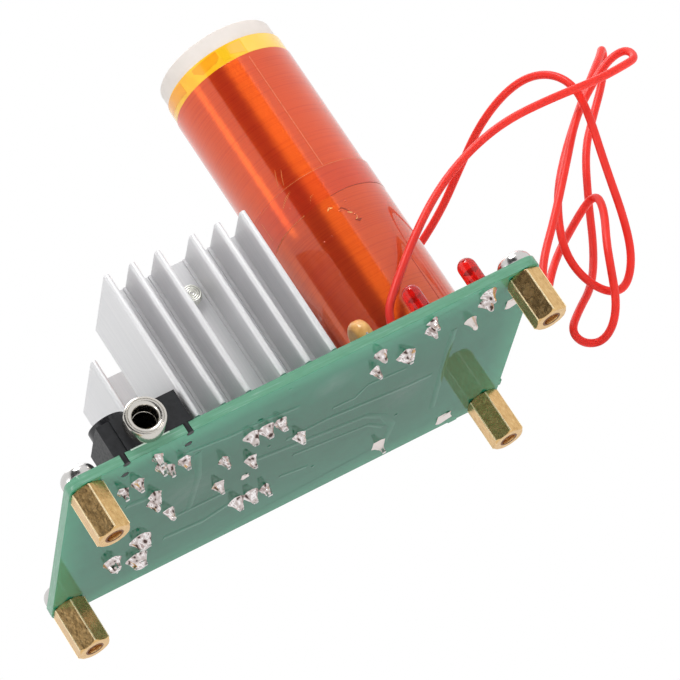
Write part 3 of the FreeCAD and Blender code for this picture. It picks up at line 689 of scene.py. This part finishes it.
coil_low, coil_high = node_span("lower_film_wrap")
coil_axis = Vector(((coil_low.x + coil_high.x) / 2, (coil_low.y + coil_high.y) / 2, 0))
film_radius = round_reach("lower_film_wrap")
upper_film_radius = round_reach("winding_film")
tape_radius = round_reach("top_tape_ring")
film_thick = 0.03 * MM
patch_step = 1.5


def wrap_patch(name, slot, material, radius, rows):
    """A thin patch bent round the coil; rows are an azimuth in degrees and two heights in mm."""
    stations = []
    for first, second in zip(rows, rows[1:]):
        steps = max(1, math.ceil(abs(second[0] - first[0]) / patch_step))
        for step in range(steps):
            stations.append([start + (end - start) * step / steps for start, end in zip(first, second)])
    stations.append(rows[-1])
    builder = bmesh.new()
    rings = []
    for azimuth, low, high in stations:
        outward = heading(math.radians(azimuth))
        section = ((radius + film_thick, low), (radius + film_thick, high), (radius, high), (radius, low))
        rings.append([builder.verts.new(coil_axis + outward * reach + mm(0, 0, level))
                      for reach, level in section])
    skin(builder, rings)
    finish_mesh(builder, name, slot, material=material)


def hair_line(width, *points):
    """A film's cut edge as the rows of a thin patch; points are an azimuth and a height."""
    return [(azimuth, level - width / 2, level + width / 2) for azimuth, level in points]


film_lap_top = 42.0
film_lap_foot = [(-250, 36.4), (-200, 36.0), (-164, 35.8), (-150, 36.3), (-122, 36.6), (-100, 37.0),
                 (-80, 37.2), (-30, 37.3), (40, 37.0), (109, 36.5)]
# The pale tan lines along the film's edges, creases, wrinkles and the lap's end are painted highlights, and
# the pale yellow glints are painted glints
film_patches = [
    ("film_upper_edge", film_edge_highlight,
     hair_line(0.1, (-176, 41.5), (-157, 41.7), (-120, 42.0), (-60, 42.0), (-20, 41.9))),
    ("film_lower_lap", film_edge_dark, hair_line(0.09, (-96, 37.0), (-80, 37.2), (-30, 37.3))),
    ("film_crease_highlight", film_edge_highlight, hair_line(0.15, (-164, 35.8), (-150, 36.3), (-136, 36.5), (-122, 36.6))),
    ("film_wrinkle_a", film_edge_highlight, [(-127.0, 43.0, 43.2), (-124.0, 44.4, 44.7), (-121.5, 45.6, 45.7)]),
    ("film_wrinkle_b", film_edge_highlight, [(-122.5, 42.6, 42.8), (-119.5, 44.0, 44.3), (-117.0, 45.0, 45.1)]),
    ("film_wrinkle_c", film_edge_highlight, [(-134.0, 39.6, 39.8), (-127.0, 40.4, 40.9), (-121.0, 41.0, 41.2)]),
    ("film_wrinkle_d", film_edge_highlight, [(-112.5, 37.6, 37.7), (-109.5, 38.3, 38.6), (-106.5, 38.6, 38.7)]),
    ("film_glint_a", film_glint, [(-104.5, 35.0, 35.1), (-102.5, 35.2, 35.5), (-99.5, 35.1, 35.2)]),
    ("film_glint_b", film_glint, [(-91.0, 33.4, 33.5), (-89.0, 33.1, 33.25), (-87.5, 33.0, 33.1)]),
    ("film_glint_c", film_glint, [(-88.0, 31.7, 31.8), (-86.5, 31.9, 32.0), (-85.5, 32.3, 32.4)]),
    ("film_mark_a", film_edge_dark,
     [(-95.0, 34.5, 34.6), (-93.0, 34.3, 34.6), (-90.5, 33.7, 34.0), (-89.5, 33.4, 33.5)]),
    ("film_mark_b", film_edge_dark, [(-89.0, 31.7, 31.8), (-86.5, 31.2, 31.7), (-83.5, 31.5, 31.6)]),
    ("film_lap", lapped_film, [(azimuth, low, film_lap_top) for azimuth, low in film_lap_foot]),
    ("film_seam", film_seam, [(-85.6, 42.4, 64.0), (-84.6, 42.2, 64.2)]),
    ("film_lower_seam", film_fold, [(-63.9, 12.0, 24.0), (-63.6, 12.0, 24.0)]),
    ("film_lap_end", film_edge_highlight, [(-160.4, 37.4, 40.8), (-159.9, 37.4, 40.8)]),
]
tape_laps = [
    ("tape_lap_left", ochre_tape, [(-190, 66.0, 67.7), (-160, 65.6, 67.6), (-150, 65.4, 67.5)]),
    ("tape_lap_middle", ochre_tape,
     [(-134, 66.6, 67.3), (-127, 65.5, 67.4), (-112, 65.8, 67.5), (-107.5, 66.4, 67.5)]),
    ("tape_lap_deep", deep_tape, [(-106, 65.3, 67.5), (-104, 65.2, 67.6), (-99, 65.2, 67.2)]),
    ("tape_lap_peach", peach_tape, [(-97.5, 65.9, 67.3), (-84, 65.2, 67.4)]),
    ("tape_lap_pale", pale_tape, [(-83, 64.85, 67.7), (-40, 64.85, 67.6), (-10, 64.85, 67.6)]),
]
bubbles = [(-102.3, 35.3), (-93.7, 34.8), (-87.0, 35.2), (-87.5, 33.7), (-86.4, 32.6), (-86.0, 32.0),
           (-112.8, 31.3), (-120.7, 31.2), (-128.9, 39.0), (-96.0, 34.2)]
bubble_radii = (0.14, 0.3)
bubble_sunk_share = 0.6
bubble_sides = 16
bubble_rows = 8


def make_film_marks():
    """The edges where the clear films end and lap, with painted highlights on edges, creases and wrinkles
    and painted glints, the tape's laps and small bubbles under the film.
    """
    for name, material, rows in film_patches:
        radius = film_radius if rows[0][1] < coil_high.z / MM else upper_film_radius
        wrap_patch(name, "orange_film", material, radius, rows)
    builder = bmesh.new()
    for azimuth, level in bubbles:
        radius = random.uniform(*bubble_radii) * MM
        outward = heading(math.radians(azimuth)) * (film_radius - radius * bubble_sunk_share)
        place = Matrix.Translation(coil_axis + outward + mm(0, 0, level))
        bmesh.ops.create_uvsphere(builder, u_segments=bubble_sides, v_segments=bubble_rows,
                                  radius=radius, matrix=place)
    finish_mesh(builder, "film_bubbles", "orange_film", material=shaded_lower_film)
    for name, material, rows in tape_laps:
        wrap_patch(name, "yellow_tape", material, tape_radius, rows)


make_film_marks()


# Audio socket's mouth

nose_sides = 96
nose_profile = [(3.15, -20.6), (3.15, -24.82), (3.07, -24.95), (2.95, -25.0), (2.78, -25.0), (2.73, -24.9),
                (2.66, -24.9), (2.6, -24.98), (2.45, -25.0), (2.25, -24.96), (2.0, -24.8), (1.85, -24.5),
                (1.8, -24.1), (1.8, -20.6)]
mouth_ring_place = -22.6 * MM
mouth_ring_radius = 1.8 * MM
mouth_ring_thick = 0.06 * MM
nose_low, nose_high = node_span("audio_jack_nose")
nose_centre = (nose_low + nose_high) / 2


def make_nose():
    """The socket's plated mouth with a groove and a rounded entry."""
    builder = bmesh.new()
    turned_mm(builder, nose_profile, nose_centre, nose_sides, "Y")
    round_ring(builder, mouth_ring_radius, mouth_ring_thick, mouth_ring_place, nose_centre, nose_sides, "Y")
    finish_mesh(builder, "audio_mouth", "nickel", ["audio_jack_nose"], turned_nickel)


make_nose()


# Tracks under the lacquer

track_depth = 0.04
track_bevel = 0.42
tracks = [
    (1.2, [(-1.6, -2.5), (5.4, -2.8), (20.6, -0.2), (24.6, 0.1)]),
    (1.0, [(6.1, -5.7), (10.0, -5.5), (12.0, -8.0), (18.9, -7.1)]),
    (1.4, [(-7.5, -0.9), (2.4, 1.3), (13.4, 3.5), (16.9, 6.7), (19.3, 11.9), (18.6, 17.6)]),
    (1.0, [(0.5, 4.5), (14.3, 7.3), (17.6, 10.9)]),
    (1.4, [(-21.4, 11.7), (-14.3, 12.6), (-11.5, 11.6), (-9.0, 10.7)]),
    (1.2, [(-20.0, 5.6), (-10.4, 5.8)]),
    (1.2, [(26.4, -12.7), (26.4, -6.3), (26.7, 9.2), (26.8, 13.2)]),
    (1.2, [(-18.1, -13.7), (-17.1, -5.1), (-17.7, 5.5)]),
    (1.6, [(-29.5, -7.1), (-24.3, -6.0)]),
    (1.2, [(-0.6, -12.4), (-6.4, -13.6), (-12.7, -14.1), (-20.2, -15.7)]),
    (1.0, [(3.9, 11.6), (-1.1, 10.3)]),
]
via_places = [(-8.1, 3.3), (-4.7, -3.3), (5.1, 12.8), (19.6, 8.9), (-3.2, -20.3)]
via_profile = [(0.05, -0.064), (0.245, -0.056), (0.35, 0.0), (0.05, 0.0)]
via_sides = 20


def make_tracks():
    """Shallow raised lines and dots where copper runs under the board's lacquer."""
    builder = bmesh.new()
    for width, points in tracks:
        flat_share = 1 - 2 * track_bevel / width
        section = ((1, 0), (flat_share, track_depth), (-flat_share, track_depth), (-1, 0))
        rows = []
        for index, point in enumerate(points):
            before = Vector(points[max(index - 1, 0)])
            after = Vector(points[min(index + 1, len(points) - 1)])
            run = (after - before).normalized()
            side = Vector((-run.y, run.x)) * width / 2
            row = []
            for share, depth in section:
                spot = Vector(point) + side * share
                row.append(builder.verts.new(mm(spot.x, spot.y, board_low.z - depth)))
            rows.append(row)
        skin(builder, rows)
    for x, y in via_places:
        profile = [(radius, board_low.z + along) for radius, along in via_profile]
        turned_mm(builder, profile, mm(x, y, 0), via_sides)
    finish_mesh(builder, "board_tracks", "board", material=raised_mask)


make_tracks()


# Inside the lamps

lamp_floor = 9.7
lamp_post_half = 0.16
lamp_posts = [(-0.95, -0.4, 12.2), (0.25, 0.8, 11.8)]
cup_profile = [(0.35, 12.1), (0.95, 12.9), (0.85, 12.9), (0.3, 12.3)]
cup_offset = -0.25
cup_sides = 32


def box_piece(builder, low, high):
    """Add a plain block between two corners."""
    size = high - low
    place = Matrix.Translation((low + high) / 2) @ Matrix.Diagonal((*size, 1))
    bmesh.ops.create_cube(builder, size=1, matrix=place)


def make_lamp_insides():
    """The cup and the two posts that show through each lamp's resin."""
    builder = bmesh.new()
    for side in ("left", "right"):
        low, high = node_span(side + "_lamp_leads")
        centre = (low + high) / 2 / MM
        for near, far, top in lamp_posts:
            box_piece(builder, mm(centre.x - lamp_post_half, centre.y + near, lamp_floor),
                      mm(centre.x + lamp_post_half, centre.y + far, top))
        turned_mm(builder, cup_profile, mm(centre.x, centre.y + cup_offset, 0), cup_sides)
    finish_mesh(builder, "lamp_insides", "tinned", material=cup_metal)


make_lamp_insides()


# Pale strip on the board's edge under the audio socket

pale_strip_x = (-29.3, -22.9)
pale_strip_proud = 0.03
pale_strip_width = 0.22


def make_pale_strip():
    """A thin pale strip along the board's top front edge, below the socket's body."""
    builder = bmesh.new()
    front = board_low.y - pale_strip_proud
    box_piece(builder, mm(pale_strip_x[0], front, board_high.z - pale_strip_width),
              mm(pale_strip_x[1], front + pale_strip_width, board_high.z + pale_strip_proud))
    finish_mesh(builder, "pale_board_strip", "board", material=pale_strip_surface, smooth=False)


make_pale_strip()


# Solder

solder_sides = 40
solder_rings = 14
solder_foot_share = 1.08
solder_tip_drop = 0.52 * MM
tip_round_share = 0.76
tip_round_depth = 0.86
lead_end_slack = 0.01 * MM
lump_share = 0.1
lump_frequency = 1.3
lump_rise = 1.5
lump_seed_step = 3.1
lean_share = 0.5
facet_twist = 0.5
seed_step = 1.37
fewest_facets = 3
facet_choices = 3
square_turn = math.radians(45)
broad_foot = 1.15 * MM
flat_height = 0.5 * MM
blade_joint_edge = -28.5 * MM
place_slack = 0.8 * MM
joint_places = {
    "wire_end": mm(17.7, 17.0, 0),
    "winding_end": mm(29.2, -13.1, 0),
    "wire_start": mm(17.9, -12.4, 0),
}
pad_joints = {"wide_pad", "small_pad", "wire_end", "winding_end"}

# The foot's share of the solid's foot, the neck's shares of that foot and of the lead,
# the turn, the number of facets, how flat they are and how hollow the cone is
joint_shapes = {
    "wide_pad": (1.45, 0.9, 0, square_turn, 4, 1.0, 1.0),
    "small_pad": (0.7, 0.9, 0, square_turn, 4, 1.0, 1.0),
    "wire_end": (1.3, 0, 1, square_turn, 4, 1.0, 3.0),
    "winding_end": (0.9, 0, 1, None, 6, 0.2, 2.4),
    "wire_start": (1.5, 0.35 / 1.5, 0, 0.2, 4, 1.0, 1.1),
    "blade": (1.0, 0, 0.9, None, 5, 0.3, 3.0),
    "broad": (1.2, 0, 1, None, 5, 0.3, 1.9),
    "lead": (1.0, 0, 1, None, None, 0.8, 1.6),
}


def polygon_reach(angle, sides, turn):
    """How far a polygon's side lies along an angle, for a corner reach of one."""
    wedge = FULL_TURN / sides
    offset = (angle + turn) % wedge - wedge / 2
    return math.cos(wedge / 2) / math.cos(offset)


def add_solder_cone(builder, centre, foot, neck, bottom, top, seed, facets, flatness, hollow):
    """An uneven, faceted solder cone drawn up a lead."""
    swing = Vector((noise.noise(Vector((seed, 0.3, 0.1))), noise.noise(Vector((0.2, seed, 0.7))), 0))
    lean = swing * foot * lean_share
    rings = []
    for row in range(solder_rings + 1):
        share = row / solder_rings
        past = max(0.0, share - tip_round_share) / (1 - tip_round_share)
        radius = (neck + (foot - neck) * (1 - share) ** hollow) * math.sqrt(1 - tip_round_depth * past ** 2)
        middle = centre + lean * share * (1 - share) + Vector((0, 0, top + (bottom - top) * share))
        ring = []
        for step in range(solder_sides):
            angle = FULL_TURN * step / solder_sides
            direction = heading(angle)
            drift = Vector((seed * lump_seed_step, share * lump_rise, seed))
            lump = noise.noise(direction * lump_frequency + drift)
            side = polygon_reach(angle, facets, seed + share * facet_twist)
            reach = radius * (1 - flatness + flatness * side) * (1 + lump_share * lump)
            ring.append(builder.verts.new(middle + direction * reach))
        rings.append(ring)
    skin(builder, rings)


def joint_kind(centre, half, height):
    """What a joint is, by its size and by what it holds."""
    if height < flat_height:
        return "wide_pad" if centre.x > 0 else "small_pad"
    for kind, place in joint_places.items():
        if (centre - place).length < place_slack:
            return kind
    if half > broad_foot:
        return "blade" if centre.x < blade_joint_edge else "broad"
    return "lead"


def make_solder():
    """The joints, drawn up the leads or flat on their pads."""
    cones = bmesh.new()
    pads = bmesh.new()
    for index, part in enumerate(loose_parts("solder_joints")):
        low, high = corners(part)
        centre = (low + high) / 2
        centre.z = 0
        half = (high.x - low.x) / 2
        tip = [Vector((place.x, place.y, 0)) for place in part if place.z < low.z + lead_end_slack]
        lead = max((place - centre).length for place in tip)
        kind = joint_kind(centre, half, high.z - low.z)
        foot_share, from_foot, from_lead, turn, facets, flatness, hollow = joint_shapes[kind]
        foot = half * solder_foot_share * foot_share
        neck = foot * from_foot + lead * from_lead
        bottom = low.z if kind.endswith("pad") else low.z - solder_tip_drop
        seed = index * seed_step if turn is None else turn
        sides = facets or fewest_facets + index % facet_choices
        builder = pads if kind in pad_joints else cones
        add_solder_cone(builder, centre, foot, neck, bottom, high.z, seed, sides, flatness, hollow)
    finish_mesh(cones, "solder_drawn", "solder", ["solder_joints"])
    finish_mesh(pads, "solder_flat", "solder", material=pad_tin)


make_solder()


# Threads, painted hole shade and painted edge highlights

thread_pitch = 0.5 * MM
hole_crests = 7
hole_crest_start = 0.35 * MM
hole_crest_radius = 1.26 * MM
hole_crest_thick = 0.12 * MM
# A dark ring at each hole's mouth is painted shade that makes the hole look wider
hole_shade_profile = [(1.2, -0.02), (1.5, -0.02), (1.5, 0.02), (1.2, 0.02)]
hole_sides = 40
post_corners = 6
post_flat_half = 2.5 * MM
post_corner_sunk = 0.09 * MM
post_corner_reach = post_flat_half / math.cos(math.radians(30)) - post_corner_sunk
edge_thick = 0.13 * MM
edge_core = 0.0005 * MM
edge_inset = 0.25 * MM
edge_sides = 8
tip_ring_radii = [1.3, 0.98, 0.66, 0.34]
tip_ring_thick = 0.12 * MM
tip_ring_sunk = 0.01 * MM
screw_crests = 3
screw_crest_start = 0.25 * MM
screw_crest_radius = 1.4 * MM
screw_crest_thick = 0.13 * MM
screw_sides = 48


def make_post_details():
    """Thread crests in the holes of the brass posts, with painted shade on the crests and in dark rings at
    the holes' mouths, and painted highlights along the posts' edges.
    """
    crests = bmesh.new()
    shade_rings = bmesh.new()
    edges = bmesh.new()
    for part in loose_parts("standoffs"):
        low, high = corners(part)
        centre = (low + high) / 2
        for count in range(hole_crests):
            level = hole_crest_start + count * thread_pitch
            round_ring(crests, hole_crest_radius, hole_crest_thick, level, centre, hole_sides)
        turned_mm(shade_rings, hole_shade_profile, centre, hole_sides)
        foot, head = low.z + edge_inset, high.z - edge_inset
        profile = [(edge_core, foot), (edge_thick, foot), (edge_thick, head), (edge_core, head)]
        for corner in range(post_corners):
            outward = heading(FULL_TURN * (corner + 0.5) / post_corners)
            turned(edges, profile, centre + outward * post_corner_reach, edge_sides)
    finish_mesh(crests, "post_threads", "brass_post", material=tapped_brass)
    finish_mesh(shade_rings, "post_hole_shade_rings", "brass_post", material=hole_shade)
    finish_mesh(edges, "post_edge_highlights", "brass_post", material=edge_highlight_brass)


def make_screw_tips():
    """Turned rings on the ends of the heatsink screws, and their last thread crests."""
    builder = bmesh.new()
    for part in loose_parts("heatsink_screws"):
        low, high = corners(part)
        centre = (low + high) / 2
        face, inward = (low.y, 1) if centre.y < 0 else (high.y, -1)
        ring_place = face + inward * tip_ring_sunk
        for radius in tip_ring_radii:
            round_ring(builder, radius * MM, tip_ring_thick, ring_place, centre, screw_sides, "Y")
        for count in range(screw_crests):
            along = face + inward * (screw_crest_start + count * thread_pitch)
            round_ring(builder, screw_crest_radius, screw_crest_thick, along, centre, screw_sides, "Y")
    finish_mesh(builder, "screw_tip_rings", "screw_steel", material=turned_steel)


make_post_details()
make_screw_tips()


# Stage and light

# The opening's azimuth and width are in degrees, its height in parts of the sky's radius

opening_azimuth = -108
opening_half_width = 28
opening_height = 0.28
opening_half_height = 0.8
opening_edge = 0.06
opening_level = 0.05
world_light = 0.57
shadow_reach = 0.16
white_from = 0.34
floor_level = -0.1 * MM
floor_half = 3.0


def make_stage():
    """A pale floor that is seen and shaded from above and clear from below."""
    made = Surface("floor", {"Base Color": (0.95, 0.95, 0.95), "Roughness": 0.6})
    geometry = made.add("ShaderNodeNewGeometry").outputs
    path = made.add("ShaderNodeLightPath").outputs
    clear = made.add("ShaderNodeBsdfTransparent").outputs["BSDF"]
    white = made.add("ShaderNodeEmission").outputs["Emission"]
    top = made.blend(made.mirrored(path), made.shader, white)
    distance = made.add("ShaderNodeVectorMath", {0: geometry["Position"]}, operation="LENGTH")
    far = made.rescale(distance.outputs["Value"], shadow_reach, white_from)
    seen = made.blend(made.calculate("MULTIPLY", far, path["Is Camera Ray"]), top, white)
    passed = made.calculate("MAXIMUM", geometry["Backfacing"], path["Is Shadow Ray"])
    made.feed(made.output, made.blend(passed, seen, clear))
    mesh = bpy.data.meshes.new("floor")
    signs = [(-1, -1), (1, -1), (1, 1), (-1, 1)]
    mesh.from_pydata([(x * floor_half, y * floor_half, floor_level) for x, y in signs], [], [(0, 1, 2, 3)])
    mesh.materials.append(made.material)
    floor = bpy.data.objects.new("floor", mesh)
    bpy.context.scene.collection.objects.link(floor)


def make_world():
    """White to the eye, a pale studio with a dark opening to gloss, and softer as a lamp."""
    world = bpy.data.worlds.new("world")
    bpy.context.scene.world = world
    sky = Tree(world)
    background = sky.nodes["Background"].inputs
    path = sky.add("ShaderNodeLightPath").outputs
    toward = sky.add("ShaderNodeTexCoord").outputs["Generated"]

    def outside(field, middle, half):
        """How far a field is past one side of the opening, in widths of its soft edge."""
        away = sky.calculate("ABSOLUTE", sky.calculate("SUBTRACT", field, middle))
        return sky.calculate("DIVIDE", sky.calculate("SUBTRACT", away, half), opening_edge)

    azimuth = sky.calculate("ARCTAN2", sky.along(toward, "Y"), sky.along(toward, "X"))
    beside = outside(azimuth, math.radians(opening_azimuth), math.radians(opening_half_width))
    above = outside(sky.along(toward, "Z"), opening_height, opening_half_height)
    opening = sky.rescale(sky.calculate("MAXIMUM", beside, above), 0.0, 1.0, opening_level)
    mirrored = sky.mirrored(path)
    level = sky.calculate("MAXIMUM", path["Is Camera Ray"], sky.calculate("MULTIPLY", mirrored, opening))
    other = sky.calculate("SUBTRACT", 1.0, sky.calculate("MAXIMUM", path["Is Camera Ray"], mirrored))
    sky.feed(background["Color"], (1, 1, 1))
    sky.feed(background["Strength"], sky.calculate("MULTIPLY_ADD", other, world_light, level))


studio_centre = mm(15, 0, 30)
studio_distance = 0.9


def around_object(azimuth, elevation):
    """A lamp's place round the object in degrees; the azimuth is counted from +X."""
    rise = math.radians(elevation)
    direction = heading(math.radians(azimuth)) * math.cos(rise) + Vector((0, 0, math.sin(rise)))
    return studio_centre + direction * studio_distance


# Each lamp's name, place, width and height in metres, and power

lamps = [
    ("front_box", around_object(-84, 56), 0.34, 0.4, 4.3),
    ("left_box", around_object(-163, 2), 0.17, 0.3, 1.4),
    ("low_box", mm(0, -100, -700), 1.0, 1.0, 2.5),
    ("top_box", around_object(60, 70), 0.7, 0.7, 2.0),
]


def area_lamp(name, place, width, height, power):
    """A soft box that lights and is mirrored but isn't seen itself."""
    data = bpy.data.lights.new(name, "AREA")
    data.shape = "RECTANGLE"
    data.size = width
    data.size_y = height
    data.energy = power
    lamp = bpy.data.objects.new(name, data)
    bpy.context.scene.collection.objects.link(lamp)
    lamp.location = place
    lamp.rotation_euler = (studio_centre - place).to_track_quat("-Z", "Y").to_euler()
    lamp.visible_camera = False


make_stage()
make_world()
for lamp in lamps:
    area_lamp(*lamp)
bpy.context.scene.view_settings.view_transform = "Standard"
